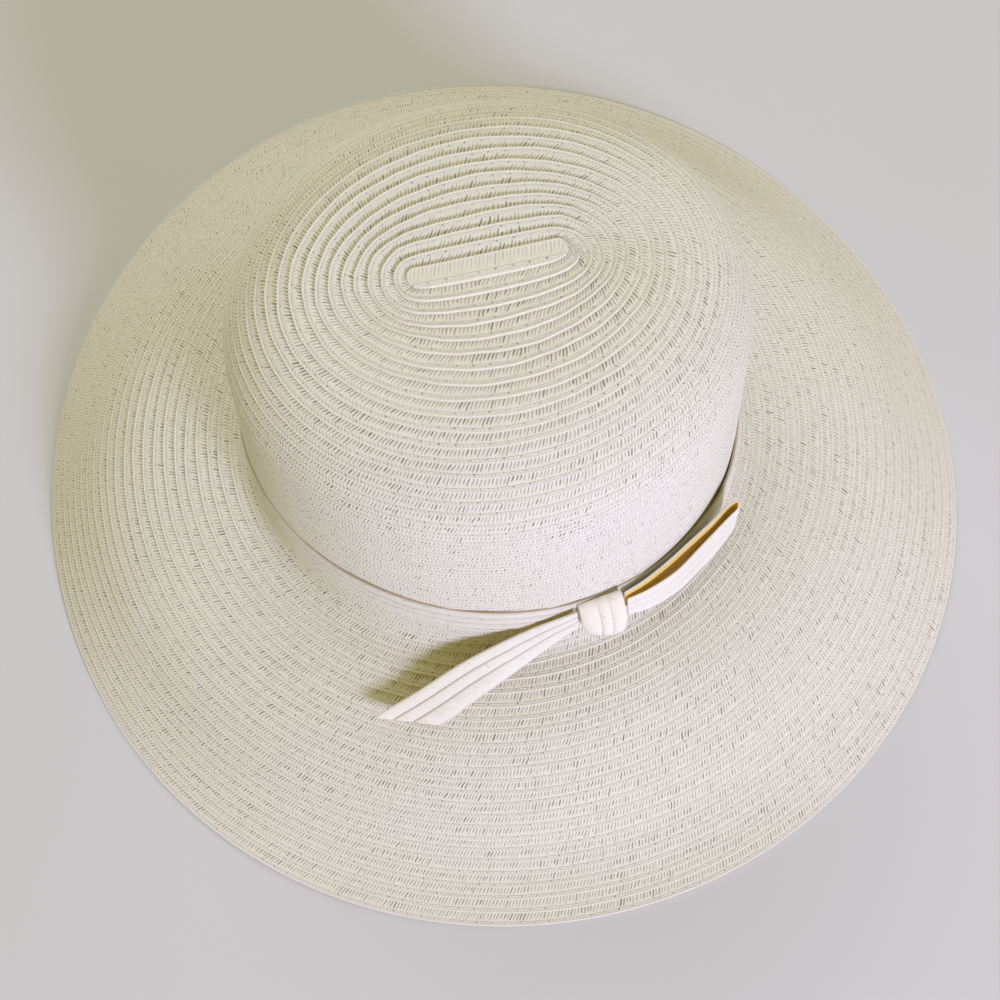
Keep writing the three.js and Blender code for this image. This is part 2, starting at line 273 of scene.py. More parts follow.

# Looks of the braid: colours, lean of the strands, and how much its gaps, stitches, edges and grooves show;
# the gaps, needle holes and grooves are painted darker as shade, and the stitch threads, edges and strands
# lighter as highlights
BODY_LOOK = {
    "light": (0.87, 0.85, 0.74), "deep": (0.78, 0.76, 0.64),
    "painted_shade": (0.22, 0.18, 0.09), "painted_highlight": (0.96, 0.94, 0.84),
    "slant": 1.8, "gap_painted_shade": 0.9, "relief": 0.5, "stitches": 0.9, "edge": 0.35, "groove": 0.0,
    "strands": 0.5, "glow": 0.0,
}
BAND_LOOK = {
    "light": (0.88, 0.86, 0.76), "deep": (0.80, 0.78, 0.67),
    "painted_shade": (0.40, 0.29, 0.12), "painted_highlight": (0.95, 0.93, 0.84),
    "slant": 1.8, "gap_painted_shade": 0.6, "relief": 0.35, "stitches": 0.0, "edge": 0.0, "groove": 0.8,
    "strands": 0.4, "glow": 0.0,
}
BOW_LOOK = {
    "light": (0.92, 0.89, 0.78), "deep": (0.88, 0.84, 0.72),
    "painted_shade": (0.36, 0.28, 0.10), "painted_highlight": (0.95, 0.93, 0.84),
    "slant": 1.8, "gap_painted_shade": 0.35, "relief": 0.2, "stitches": 0.0, "edge": 0.0, "groove": 0.9,
    # the reverse colour is painted golden light, shining through the strips onto their reverse faces
    "strands": 0.0, "glow": 0.45, "reverse": (0.90, 0.66, 0.20),
}

# Unevenness of the strands along a row
DRIFT_RATE = 0.21           # how fast it changes, for each tick
DRIFT_ROWS = 3.7            # how far apart it lies from row to row
DRIFT_TICKS = 1.2
STRETCH_RATE = 0.06         # stretches of a row with darker and lighter painted shade in its gaps
STRETCH_ROWS = 1.7
STRETCH_RANGE = (0.35, 0.65)
STRETCH_LIGHTEST = 0.4

# Gaps between open strands, painted dark as shade: zones are shares of a row's width, and widths are shares
# of half a tick
GAP_START = (0.02, 0.1)
GAP_END = (0.50, 0.70)
GAP_SHORTER = 0.28          # how much sooner the shortest gaps end
GAP_SHIFT = 0.3
GAP_MIDDLE = 0.08
GAP_NARROWEST = 0.38
GAP_WIDER = 0.3
GAP_RARITY = 3.0            # the higher, the fewer gaps are painted dark
GAP_FAINTEST = 0.34
STRIP_GAPS = 0.45           # how much the tip strip's painted gap shade shows, beside that of other rows
STRIP_ROW_RANGE = (-1.0, -0.5)
# where the strands beside each gap are painted lighter as highlights
STRAND_SIDE = (0.6, 0.9)

# Close strands, stitches, edge strand and grooves, in the same shares; the threads and edge strand are
# painted lighter as highlights, the needle holes and grooves darker as shade
CLOSE_START = (0.55, 0.68)
CLOSE_END = (0.86, 0.93)
CLOSE_WIDTH = 0.7
STITCH_TICKS = 4.2
STITCH_LINE = 0.74          # share of a row's width where it is sewn down
STITCH_ROWS = 0.37          # share of a stitch by which each row's stitches lie further on
THREAD_WIDTH = (0.02, 0.055)
THREAD_END = (0.80, 0.92)
NEEDLE_WIDTH = (0.03, 0.08)
NEEDLE_START = (0.88, 0.97)
EDGE_HIGHLIGHT_START = (0.89, 0.93)
GROOVE_SHADE_START = (0.40, 0.47)   # from the middle of a row, over which the painted shade of the grooves fades in

# Relief, tones and surface of the braid
FIBRE_TICKS = 4.0
FIBRE_ACROSS = 3.0
FIBRE_SCALE = 2.0
CLOSE_RELIEF = 0.3
STITCH_RELIEF = 0.6
FIBRE_RELIEF = 0.2
BLOTCH_SCALE = 22.0
BLOTCH_TONE = 0.6
STRAND_TONE = 0.4
NEEDLE_SHADE = 0.8
# how far the painted highlights go towards their light colour
HIGHLIGHT_SHARE = 0.8
FINE_DETAIL = 3.0
FIBRE_RANGE = (0.2, 0.8)
BRAID_ROUGHNESS = (0.6, 0.85)
BRAID_SPECULAR = 0.3
GLOW_RADIUS = (1.0, 0.92, 0.75)
GLOW_DEPTH = 2.0
SHEEN = 0.08
SHEEN_ROUGHNESS = 0.5

# Camera, from a fit of the hat to the photograph
CAMERA_TARGET = Vector((-3.79, -15.34, 1.6)) * MM
CAMERA_DISTANCE = 755.7 * MM
CAMERA_AZIMUTH = -11.80
CAMERA_ELEVATION = 69.39
CAMERA_ROLL = -1.375
CAMERA_LENS = 62.59
CAMERA_CLIP = (0.01, 50.0)
SENSOR = 36.0

# Floor and lights, in metres, degrees and watts
FLOOR_HALF_SIZE = 6.0
FLOOR_TONES = (0.66, 0.69)
FLOOR_GRAIN = 3.0
FLOOR_ROUGHNESS = 0.9
FLOOR_SPECULAR = 0.1
LAMP_TARGET = Vector((0, 0, 0.08))
KEY_LAMP = {
    "azimuth": 18, "elevation": 27, "distance": 2.0, "size": 0.6, "power": 38.0,
    "colour": (0.66, 0.64, 1.0),
}
BACK_LAMP = {
    "azimuth": 190, "elevation": 45, "distance": 2.0, "size": 1.6, "power": 21.5,
    "colour": (0.75, 0.75, 1.0),
}
WORLD_COLOUR = (1.0, 0.91, 0.24)
WORLD_STRENGTH = 0.36

# Worked out from the sizes above
FOOT_ROW = CROWN_ROWS + 0.5
FOOT_ARC = FOOT_ROW * ROW_PITCH
EDGE_ROW = FOOT_ROW + BRIM_ROWS
SHOULDER_END = TIP_LENGTH + SHOULDER_RADIUS * math.radians(SIDE_SLOPE - TIP_SLOPE)
OVAL_ARCS = (0, TIP_LENGTH, SHOULDER_END, FOOT_ARC)
OVAL_EXTRAS = (
    STRIP_HALF_LENGTH,
    (STRIP_HALF_LENGTH + OVAL_AT_SHOULDER) / 2,
    OVAL_AT_SHOULDER,
    OVAL_AT_FOOT,
)


def smooth(value, low=0.0, high=1.0):
    """0 below low, 1 above high, and an even S between them."""
    t = np.clip((value - low) / (high - low), 0, 1)
    return t * t * (3 - 2 * t)


def lobes(waves, azimuth):
    """Sum of waves round the hat, each with its number of lobes and its cosine and sine parts."""
    return sum(c * np.cos(n * azimuth) + s * np.sin(n * azimuth) for n, c, s in waves)


# Shape of the wall

def brim_slope(at, azimuth):
    """Droop of the brim in degrees below level at a share of the way from its bend to its edge."""
    def term(name):
        return np.interp(at, BRIM_SLOPES["at"], BRIM_SLOPES[name])
    return (term("mean") + term("side") * np.cos(2 * azimuth) + term("back") * np.sin(azimuth)
            + term("skew") * np.sin(2 * azimuth))


def bend_length(azimuth):
    return FOOT_RADIUS * np.radians(SIDE_SLOPE - brim_slope(0, azimuth))


def edge_arc(azimuth):
    return FOOT_ARC + bend_length(azimuth) + BRIM_LENGTH


def wall_slope(arc, azimuth):
    """Slope of the wall in degrees below level, at an arc from the tip."""
    crown = np.interp(arc, (0, TIP_LENGTH, SHOULDER_END), (0, TIP_SLOPE, SIDE_SLOPE))
    past_foot = arc - FOOT_ARC
    bend = past_foot / bend_length(azimuth)
    in_bend = SIDE_SLOPE + (brim_slope(0, azimuth) - SIDE_SLOPE) * bend
    on_brim = brim_slope((past_foot - bend_length(azimuth)) / BRIM_LENGTH, azimuth)
    return np.where(past_foot <= 0, crown, np.where(bend < 1, in_bend, on_brim))


class Meridians:
    """Reach and fall of the wall along lines from the tip to the edge, looked up by azimuth and arc."""

    def __init__(self, lines, steps):
        self.azimuths = np.linspace(-math.pi, math.pi, lines)
        self.steps = steps
        self.ends = edge_arc(self.azimuths)
        middles = (np.arange(steps) + 0.5) / steps
        slope = np.radians(wall_slope(middles * self.ends[:, None], self.azimuths[:, None]))
        step = self.ends[:, None] / steps
        start = np.zeros((lines, 1))
        self.reach = np.hstack([start, np.cumsum(np.cos(slope) * step, 1)])
        self.fall = np.hstack([start, np.cumsum(np.sin(slope) * step, 1)])
        self.top = FOOT_HEIGHT + self.look_up(self.fall, np.zeros(1), np.full(1, FOOT_ARC))[0]

    def look_up(self, rows, azimuth, arc):
        line = (azimuth + math.pi) % TURN / TURN * (len(self.azimuths) - 1)
        a = np.minimum(line.astype(int), len(self.azimuths) - 2)
        share = arc / edge_arc(azimuth) * self.steps
        b = np.clip(share.astype(int), 0, self.steps - 1)
        s, t = line - a, share - b
        return ((rows[a, b] * (1 - t) + rows[a, b + 1] * t) * (1 - s)
                + (rows[a + 1, b] * (1 - t) + rows[a + 1, b + 1] * t) * s)

    def point(self, azimuth, arc):
        """Point of the middle of the rows' surface."""
        end = edge_arc(azimuth)
        outward = np.clip((arc - FOOT_ARC) / (end - FOOT_ARC), 0, None) ** 2
        radius = self.look_up(self.reach, azimuth, arc) + lobes(EDGE_WAVES, azimuth) * outward
        correction = self.top - HEM_HEIGHT - self.look_up(self.fall, azimuth, end)
        squareness = np.maximum(STRIP_SQUARENESS * (1 - arc / ROUND_FROM), LEAST_SQUARENESS)
        along = np.tanh(squareness * np.cos(azimuth)) / np.tanh(squareness)
        oval = np.interp(arc, OVAL_ARCS, OVAL_EXTRAS) * along
        return np.stack([
            radius * np.cos(azimuth) + oval + EDGE_SHIFT[0] * outward,
            radius * np.sin(azimuth) + EDGE_SHIFT[1] * outward,
            self.top - self.look_up(self.fall, azimuth, arc) - correction * outward,
        ], -1)

    def off(self, azimuth, arc, distance):
        """Point at a distance outside the middle of the rows' surface, along its normal."""
        azimuth, arc, distance = np.broadcast_arrays(azimuth, arc, distance)
        near = np.maximum(arc - NORMAL_ARC, 0)
        far = np.minimum(arc + NORMAL_ARC, edge_arc(azimuth))
        down = self.point(azimuth, far) - self.point(azimuth, near)
        around = self.point(azimuth + NORMAL_TURN, arc) - self.point(azimuth - NORMAL_TURN, arc)
        normal = np.cross(down, around)
        normal /= np.maximum(np.linalg.norm(normal, axis=-1, keepdims=True), 1e-9)
        flat = 1 - smooth(arc, *(rows * ROW_PITCH for rows in FLAT_ROWS))[..., None]
        normal = normal * (1 - flat) + UP * flat
        normal /= np.linalg.norm(normal, axis=-1, keepdims=True)
        return self.point(azimuth, arc) + normal * distance[..., None]


wall = Meridians(MERIDIAN_LINES, MERIDIAN_STEPS)


def row_arc(row, azimuth):
    """Arc from the tip of a row number, which counts lips from the strip out to the edge."""
    brim = FOOT_ARC + (row - FOOT_ROW) / BRIM_ROWS * (edge_arc(azimuth) - FOOT_ARC)
    return np.where(row <= FOOT_ROW, row * ROW_PITCH, brim)


def turn_shares(columns):
    return np.linspace(0, 1, columns + 1)


def turn_azimuth(share):
    """Azimuth at a share of a turn.

    The braid starts at the strip's right end and is sewn round by the front.
    """
    return -TURN * share


def lip_row(turn, share):
    """Row number of a turn's outer lip at a share of the turn.

    The turn before the first is the strip's own edge.
    """
    lean = -STRIP_LEAN * np.sin(turn_azimuth(share)) * (1 - smooth(turn + share, *LEAN_FADES))
    if turn < 0:
        return STRIP_EDGE + lean
    start = smooth(share, 0 if turn == 0 else -END_WINDOW, END_WINDOW)
    end = smooth(share - 1, -END_WINDOW, END_WINDOW)
    spiral = STRIP_EDGE + turn + start + end + lean
    ring = RING_EDGE + turn + 1 + smooth(share, *BACK_WINDOW)
    settled = smooth(turn + share, *SETTLE)
    return np.minimum(spiral + (ring - spiral) * settled, EDGE_ROW)


# Meshes

class Patches:
    """Grids of points with braid coordinates, welded into one closed mesh."""

    def __init__(self):
        self.points, self.faces, self.coords = [], [], []
        self.count = 0

    def grid(self, points, coords):
        """Adds a grid of points. Its faces look along the cross product of its second and first direction."""
        rows, columns = points.shape[:2]
        index = np.arange(rows * columns).reshape(rows, columns) + self.count
        corners = [index[:-1, :-1], index[:-1, 1:], index[1:, 1:], index[1:, :-1]]
        quads = np.stack(corners, -1).reshape(-1, 4)
        self.points.append(points.reshape(-1, 3))
        self.faces.append(quads)
        self.coords.append(coords.reshape(-1, 3)[quads - self.count].reshape(-1, 3))
        self.count += rows * columns

    def mesh(self, name, shift):
        points = (np.concatenate(self.points) + shift) * MM
        faces = np.concatenate(self.faces)
        mesh = bpy.data.meshes.new(name)
        mesh.vertices.add(len(points))
        mesh.vertices.foreach_set("co", points.ravel())
        mesh.loops.add(faces.size)
        mesh.loops.foreach_set("vertex_index", faces.ravel())
        mesh.polygons.add(len(faces))
        mesh.polygons.foreach_set("loop_start", np.arange(0, faces.size, 4))
        mesh.polygons.foreach_set("loop_total", np.full(len(faces), 4))
        mesh.update(calc_edges=True)
        braid = mesh.attributes.new("braid", "FLOAT_VECTOR", "CORNER")
        braid.data.foreach_set("vector", np.concatenate(self.coords).ravel())
        weld(mesh)
        return mesh


def weld(mesh):
    """Joins the grids of a mesh along their edges and closes what is still open."""
    work = bmesh.new()
    work.from_mesh(mesh)
    bmesh.ops.remove_doubles(work, verts=work.verts, dist=WELD_DISTANCE * MM)
    bmesh.ops.dissolve_degenerate(work, edges=work.edges, dist=SLIVER * MM)
    open_edges = [edge for edge in work.edges if edge.is_boundary]
    bmesh.ops.holes_fill(work, edges=open_edges, sides=0)
    bmesh.ops.recalc_face_normals(work, faces=work.faces)
    work.to_mesh(mesh)
    work.free()
    for polygon in mesh.polygons:
        polygon.use_smooth = True
    mesh.set_sharp_from_angle(angle=math.radians(SHARP_ANGLE))


def piece(name, mesh, material, node):
    """Puts a mesh in the scene as a piece that rides on the hat and stands for a CAD node."""
    made = bpy.data.objects.new(name, mesh)
    mesh.materials.append(material)
    bpy.context.scene.collection.objects.link(made)
    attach(made, "root")
    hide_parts(node)


def lengths(points):
    """Running length along the first direction of a line of points."""
    steps = np.linalg.norm(np.diff(points, axis=0), axis=-1)
    return np.concatenate([[0], np.cumsum(steps)])


def line_coords(length, across, row):
    """Braid coordinates of a line along a row, from its running length."""
    ticks = length / TICK
    return np.stack([ticks, np.full_like(ticks, across), np.full_like(ticks, row)], -1)


def lines_mesh(name, lines, coords, shift):
    """Mesh of lines that run side by side round a strip."""
    patches = Patches()
    patches.grid(np.stack(lines, 1), np.stack(coords, 1))
    return patches.mesh(name, shift)


# Hat body

def waver(turn, share):
    """Slight unevenness of the sewn lips, in rows, which is alike where one turn passes into the next."""
    t = turn + share
    return sum(rows * np.sin(TURN * t * waves + phase) for waves, phase, rows in WAVER)


def turn_lip(turn, share):
    row = lip_row(turn, share)
    calm = smooth(row, *(EDGE_ROW - before for before in WAVER_TO))
    free = smooth(turn + share, *WAVER_FROM) * (1 - calm)
    return row + waver(turn, share) * free


def turn_points(turn, share, profile, lip_height):
    """Grid of the points of one turn: along the turn, then across the row."""
    azimuth = turn_azimuth(share)
    inner, outer = turn_lip(turn - 1, share), turn_lip(turn, share)
    width = np.maximum(outer - inner, 0)
    fullness = np.minimum(1, 2 * width)
    near_tip = (1 - smooth(turn + share, *RELIEF_FADES)) * smooth(turn + share, 0, 1)
    deeper = 1 + (TIP_RELIEF - 1) * near_tip
    lines = []
    for across, height in profile:
        arc = row_arc(inner + across * width, azimuth)
        lines.append(wall.off(azimuth, arc, lip_height + (height - lip_height) * fullness * deeper))
    return np.stack(lines, 1)


def first_line(turn, share, inside=False):
    """The line of a turn that lies under the lip of the turn before it."""
    if inside:
        return turn_points(turn, share, INSIDE_PROFILE[:1], INSIDE_LIP)
    return turn_points(turn, share, ROW_PROFILE[:1], LIP)


def add_turns(patches, turns, columns, inside, length):
    """Adds turns of braid, each joined to the first line of the next, counting its length from a start."""
    profile, lip_height = (INSIDE_PROFILE, INSIDE_LIP) if inside else (ROW_PROFILE, LIP)
    share = turn_shares(columns)
    across = [at for at, _ in profile] + [NEXT_ROW]
    for turn in turns:
        points = turn_points(turn, share, profile, lip_height)
        if turn + 1 <= BRIM_TURNS[-1]:
            points = np.concatenate([points, first_line(turn + 1, share, inside)], 1)
        middle = points[:, len(profile) // 2]
        along = length + lengths(middle)
        length = along[-1]
        coords = np.empty(points.shape)
        coords[..., 0] = -along[:, None] / TICK
        coords[..., 1] = np.array(across[:points.shape[1]])
        coords[..., 2] = turn
        if inside:
            points, coords = points[::-1], coords[::-1]
        patches.grid(points, coords)


def add_strip(patches, columns):
    """The straight start of the braid at the tip, outside and inside."""
    share = turn_shares(columns)
    azimuth = turn_azimuth(share)
    edge = turn_lip(-1, share)

    def line(at, height):
        return wall.off(azimuth, row_arc(edge * at, azimuth), np.full_like(azimuth, height))

    outer = np.stack([line(at, height) for at, height in STRIP_PROFILE], 1)
    points = np.concatenate([outer, first_line(0, share)], 1)
    patches.grid(points, strip_coords(points, -1))
    inner = np.stack([line(at, -WALL) for at in STRIP_INSIDE], 1)
    points = np.concatenate([inner, first_line(0, share, inside=True)], 1)
    patches.grid(points[::-1], strip_coords(points, -2)[::-1])


def strip_coords(points, row):
    """Braid coordinates of the strip, which runs along X, from its back edge to its front lip."""
    coords = np.empty(points.shape)
    middle = -STRIP_LEAN * ROW_PITCH
    coords[..., 0] = points[..., 0] / TICK
    coords[..., 1] = 0.5 - (points[..., 1] - middle) / (2 * STRIP_EDGE * ROW_PITCH)
    coords[..., 2] = row
    return coords


def add_joint(patches, columns, after):
    """Closes the wall between outside and inside where crown and brim meet, under the band."""
    share = turn_shares(columns)
    turn = BRIM_TURNS[0]
    points = np.concatenate([first_line(turn, share), first_line(turn, share, inside=True)], 1)
    if after:
        points = points[::-1]
    patches.grid(points, np.zeros(points.shape))


def add_hem(patches, columns):
    """The edge of the brim: down from the last lip to where the hat stands, and back inside."""
    share = turn_shares(columns)
    azimuth = turn_azimuth(share)
    last = BRIM_TURNS[-1]
    edge = wall.point(azimuth, edge_arc(azimuth))
    inward = -np.stack([np.cos(azimuth), np.sin(azimuth), np.zeros_like(azimuth)], -1)
    lines = [turn_points(last, share, ROW_PROFILE[-1:], LIP)[:, 0]]
    for height, inset in HEM_PROFILE:
        line = edge + inward * inset
        line[:, 2] = height
        lines.append(line)
    lines.append(first_line(last - HEM_TURNS + 1, share, inside=True)[:, 0])
    points = np.stack(lines, 1)
    coords = np.empty(points.shape)
    coords[..., 0] = lengths(edge)[:, None] / TICK
    coords[..., 1] = np.linspace(*HEM_ACROSS, points.shape[1])
    coords[..., 2] = last + 1
    patches.grid(points, coords)


def hat_crown(material, shift):
    patches = Patches()
    add_strip(patches, CROWN_COLUMNS)
    add_turns(patches, CROWN_TURNS, CROWN_COLUMNS, False, BRAID_STARTS["crown"])
    add_turns(patches, CROWN_TURNS, CROWN_COLUMNS, True, BRAID_STARTS["crown inside"])
    add_joint(patches, CROWN_COLUMNS, False)
    piece("crown", patches.mesh("crown", shift), material, "hat_body")


def hat_brim(material, shift):
    patches = Patches()
    add_joint(patches, BRIM_COLUMNS, True)
    add_turns(patches, BRIM_TURNS, BRIM_COLUMNS, False, BRAID_STARTS["brim"])
    add_turns(patches, BRIM_TURNS[:-HEM_TURNS], BRIM_COLUMNS, True, BRAID_STARTS["brim inside"])
    add_hem(patches, BRIM_COLUMNS)
    piece("brim", patches.mesh("brim", shift), material, "hat_body")


# Band

def band_slack(azimuth):
    degrees = (np.degrees(azimuth) + 180) % 360 - 180
    at = np.clip((degrees - SLACK["from"]) / (SLACK["to"] - SLACK["from"]), 0, 1)
    return SLACK["depth"] * np.sin(math.pi * at) ** 2


def band_top(azimuth):
    return BAND_TOP + lobes(BAND_TILTS, azimuth)


def ribbed_face(edges, low, high, groove, inset=0.0):
    """Share across, height, row and place in the row, over braid rows that meet in narrow grooves.

    A larger inset keeps the places further from the rows' edges, so that their grooves show less colour.
    """
    rise = [(at, share * high + (1 - share) * low) for at, share in ROW_RISE]
    shape = [(0.0, groove), *rise, (1.0, groove)]
    points = []
    for row, (start, end) in enumerate(zip(edges[:-1], edges[1:])):
        for at, height in shape:
            if row and at == 0.0:
                continue
            points.append((start + at * (end - start), height, row, inset + at * (1 - 2 * inset)))
    return points


def hat_band(material, shift):
    azimuth = np.linspace(0, TURN, BAND_COLUMNS + 1)
    base = LIP + BAND_GAP + band_slack(azimuth)
    high = BAND_THICKNESS + BAND_STEP
    face = ribbed_face(BAND_ROW_EDGES, BAND_THICKNESS, high, BAND_GROOVE, PLAIN_EDGE)
    outline = [*BAND_TOP_EDGE, *face[1:], *BAND_BACK, BAND_TOP_EDGE[0]]
    lines, coords = [], []
    for at, height, row, across in outline:
        line = wall.off(azimuth, band_top(azimuth) + at * BAND_HEIGHT, base + height)
        lines.append(line)
        coords.append(line_coords(lengths(line), across, BAND_ROWS + row))
    piece("band", lines_mesh("band", lines, coords, shift), material, "hat_band")


# Bow

def curve_through(stations, at):
    """Smooth line through the rows of a table, at shares of its number of spans, with the slope there."""
    stations = np.array(stations, float)
    ends = np.vstack([2 * stations[0] - stations[1], stations, 2 * stations[-1] - stations[-2]])
    spans = len(stations) - 1
    span = np.minimum((at * spans).astype(int), spans - 1)
    t = (at * spans - span)[:, None]
    a, b, c, d = (ends[span + i] for i in range(4))
    square = 2 * a - 5 * b + 4 * c - d
    cube = 3 * (b - c) + d - a
    value = 0.5 * (2 * b + (c - a) * t + square * t ** 2 + cube * t ** 3)
    slope = 0.5 * ((c - a) + 2 * square * t + 3 * cube * t ** 2)
    return value, slope


def strip_outline(inset):
    """Share across, height, row and place in the row, round a strip of three braid rows."""
    half = STRIP_THICKNESS / 2
    front = ribbed_face(STRIP_ROW_EDGES, STRIP_SHOULDER * half, half, STRIP_GROOVE * half, inset)
    first, last = EDGE_PLACES
    outline = [
        (0.0, STRIP_BACK_EDGE * half, 0, first),
        (0.0, STRIP_FRONT_EDGE * half, 0, first),
        *front[1:-1],
        (1.0, STRIP_FRONT_EDGE * half, LAST_ROW, last),
        (1.0, STRIP_BACK_EDGE * half, LAST_ROW, last),
    ]
    reverse = REVERSE_ROWS - FRONT_ROWS
    outline += [(share, -half, reverse + row, across) for share, row, across in STRIP_REVERSE]
    return outline + outline[:1]


def bow_strip(name, stations, sections, slant, inset, node, material, shift):
    """Strip of three braid rows along a line, with its first end cut at a slant."""
    at = np.linspace(0, 1, sections + 1)
    value, slope = curve_through(stations, at)
    middle, width, lean = value[:, :3], value[:, 3], np.radians(value[:, 4])
    along = slope[:, :3] / np.linalg.norm(slope[:, :3], axis=1, keepdims=True)
    side = np.cross(UP, along)
    side /= np.linalg.norm(side, axis=1, keepdims=True)
    upward = UP * np.cos(lean)[:, None] + side * np.sin(lean)[:, None]
    face = np.cross(along, upward)
    face /= np.linalg.norm(face, axis=1, keepdims=True)
    shear = -slant * (1 - smooth(at, 0, CUT_FADES))
    lines, coords = [], []
    for share, height, row, across in strip_outline(inset):
        x = share - 0.5
        line = middle - upward * (x * width)[:, None] - along * (x * shear)[:, None] + face * height
        lines.append(line)
        coords.append(line_coords(lengths(line), across, FRONT_ROWS + row))
    piece(name, lines_mesh(name, lines, coords, shift), material, node)


def bow_tail(material, shift):
    bow_strip("tail", TAIL, TAIL_SECTIONS, CUT_SLANT, 0.0, "bow_tail", material, shift)


def bow_loop(material, shift):
    stations = []
    for azimuth, radius, *rest in LOOP:
        turned = math.radians(azimuth)
        stations.append((radius * math.cos(turned), radius * math.sin(turned), *rest))
    bow_strip("loop", stations, LOOP_SECTIONS, 0.0, PLAIN_EDGE, "bow_loop", material, shift)


def bow_knot(material, shift):
    """Wrap of braid in front of the band, whose rows run over the top, down the front and under."""
    seat_azimuth = np.full(1, math.radians(KNOT_AZIMUTH))
    seat = wall.off(seat_azimuth, np.full(1, KNOT_ARC), np.full(1, KNOT_SEAT))[0]
    azimuth = math.radians(KNOT_AZIMUTH + KNOT_TURN)
    out = np.array([math.cos(azimuth), math.sin(azimuth), 0.0])
    right = np.array([-math.sin(azimuth), math.cos(azimuth), 0.0])
    tip = math.radians(90 - SIDE_SLOPE)
    rise = UP * math.cos(tip) - out * math.sin(tip)
    front = out * math.cos(tip) + UP * math.sin(tip)
    profile, _ = curve_through(KNOT_PROFILE, np.linspace(0, 1, KNOT_STEPS + 1))
    height, depth = profile.T
    width = np.interp(height, *zip(*KNOT_WIDTHS))
    face = ribbed_face(KNOT_ROW_EDGES, KNOT_SHOULDER, KNOT_RIDGE, 0.0, PLAIN_EDGE)
    first, last = EDGE_PLACES
    on_seat, on_front = 0.0, 1.0
    outline = [
        (0.0, 0.0, 0, first, on_seat),
        *((*point, on_front) for point in face),
        (1.0, 0.0, LAST_ROW, last, on_seat),
    ]
    lines, coords = [], []
    for share, ridge, row, across, stands in outline + outline[:1]:
        x = share - 0.5
        low = -np.interp(share, (0, 1), KNOT_DROPS)
        up = low + (KNOT_TOP - low) * height
        reach = np.interp(share, (0, 1), KNOT_DEPTHS) - KNOT_BULGE * (2 * x) ** 2 - KNOT_RIDGE + ridge
        for crease, at, deep in KNOT_CREASES:
            aside = (share - crease) / KNOT_CREASE_SIZE[0]
            above = (height - at) / KNOT_CREASE_SIZE[1]
            reach = reach - deep * np.exp(-(aside ** 2 + above ** 2))
        risen = np.outer(up, rise)
        line = risen + np.outer(x * width, right) + np.outer(depth * reach * stands, front)
        lines.append(seat + line)
        length = lengths(risen + np.outer(depth * reach, front))
        coords.append(line_coords(length, across, KNOT_ROWS + row))
    piece("knot", lines_mesh("knot", lines, coords, shift), material, "bow_knot")


# Materials

class Graph:
    """Short names for making and joining the nodes of a material."""

    def __init__(self, name):
        self.material = bpy.data.materials.new(name)
        self.material.use_nodes = True
        self.tree = self.material.node_tree
        self.shader = self.tree.nodes["Principled BSDF"]

    def add(self, kind, **settings):
        node = self.tree.nodes.new(kind)
        for key, value in settings.items():
            setattr(node, key, value)
        return node

    def put(self, socket, source):
        """Sets an input to a number or joins it to another node's output."""
        if isinstance(source, bpy.types.NodeSocket):
            self.tree.links.new(source, socket)
        else:
            socket.default_value = source

    def math(self, operation, *sources):
        node = self.add("ShaderNodeMath", operation=operation)
        for socket, source in zip(node.inputs, sources):
            self.put(socket, source)
        return node.outputs[0]

    def plus(self, first, second):
        return self.math("ADD", first, second)

    def minus(self, first, second):
        return self.math("SUBTRACT", first, second)

    def times(self, first, second):
        return self.math("MULTIPLY", first, second)

    def most(self, first, second):
        return self.math("MAXIMUM", first, second)

    def size(self, value):
        return self.math("ABSOLUTE", value)

    def smooth(self, value, low, high, start=0.0, end=1.0):
        node = self.add("ShaderNodeMapRange", interpolation_type="SMOOTHSTEP")
        for socket, source in zip(node.inputs, (value, low, high, start, end)):
            self.put(socket, source)
        return node.outputs[0]

    def fade(self, value, low, high):
        """1 below low, 0 above high, and an even S between them."""
        return self.smooth(value, low, high, 1.0, 0.0)

    def signed(self, value):
        """Place in a value's cell, from -1 at its start to 1 at its end."""
        return self.minus(self.times(self.math("FRACT", value), 2.0), 1.0)

    def from_middle(self, value):
        """Distance from the middle of a value's cell, 0 in the middle and 1 at its ends."""
        return self.size(self.signed(value))

    def vector(self, x, y, z):
        node = self.add("ShaderNodeCombineXYZ")
        for socket, source in zip(node.inputs, (x, y, z)):
            self.put(socket, source)
        return node.outputs[0]

    def noise(self, vector, scale, detail=2.0):
        node = self.add("ShaderNodeTexNoise")
        self.put(node.inputs["Vector"], vector)
        node.inputs["Scale"].default_value = scale
        node.inputs["Detail"].default_value = detail
        return node.outputs["Fac"]

    def mix(self, share, first, second):
        node = self.add("ShaderNodeMix", data_type="RGBA")
        self.put(node.inputs["Factor"], share)
        self.put(node.inputs["A"], first)
        self.put(node.inputs["B"], second)
        return node.outputs["Result"]


